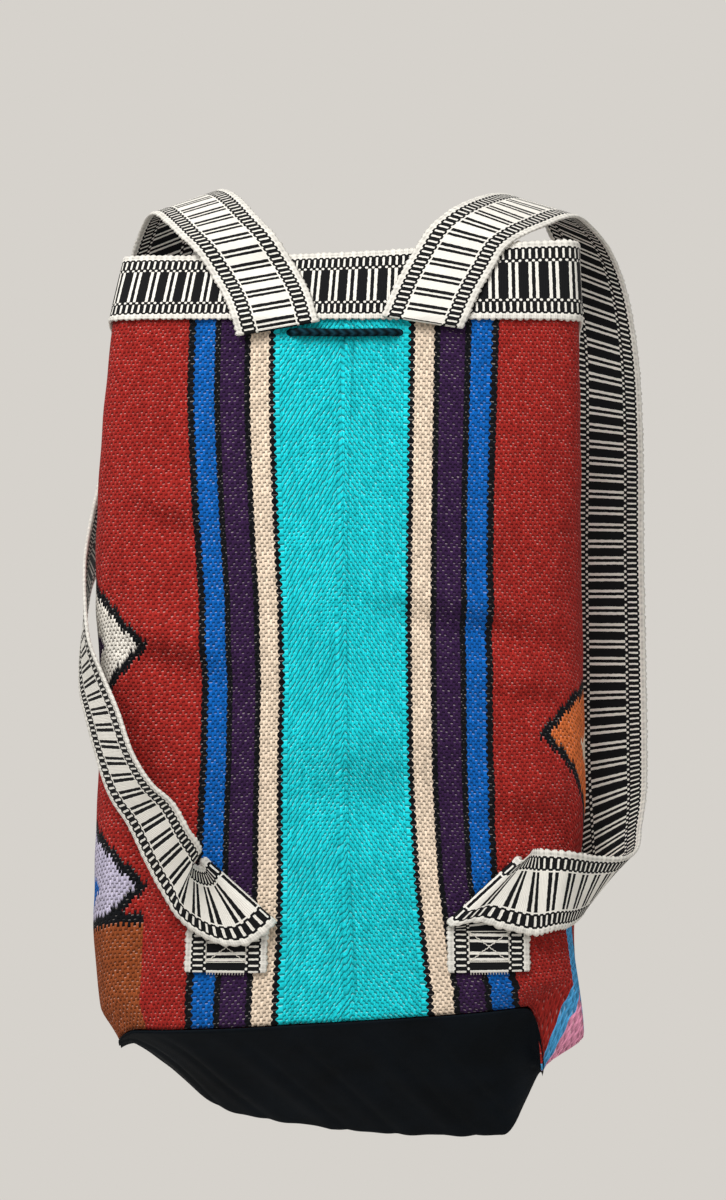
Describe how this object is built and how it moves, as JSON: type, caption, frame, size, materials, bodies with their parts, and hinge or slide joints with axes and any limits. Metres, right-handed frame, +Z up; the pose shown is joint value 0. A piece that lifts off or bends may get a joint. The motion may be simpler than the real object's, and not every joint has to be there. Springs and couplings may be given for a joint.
{
  "type": "woven drawstring backpack",
  "caption": "Soft handwoven tapestry backpack: a striped wool tube with a slack black base, a banded drawstring mouth and folded band shoulder straps, hung by its straps.",
  "frame": {"origin": "midway between the undersides of the two strap crowns, where a pair of shoulders or pegs carries the straps", "axes": "+Z up, -Y out of the back that carries the straps, +X to the right as seen from behind"},
  "size_m": [0.3738, 0.1819, 0.6187],
  "materials": {
    "tapestry": "coarse weft-faced wool weave in coloured stripes and plain geometric fields",
    "base_cloth": "thin plain black cotton",
    "band": "black and white warp-patterned cotton band",
    "cord": "black braided cord"
  },
  "bodies": {
    "root": {"woven_body": "tapestry", "base_panel": "base_cloth", "mouth_band": "band", "strap_left": "band", "strap_right": "band", "drawstring": "cord"}
  },
  "joints": []
}
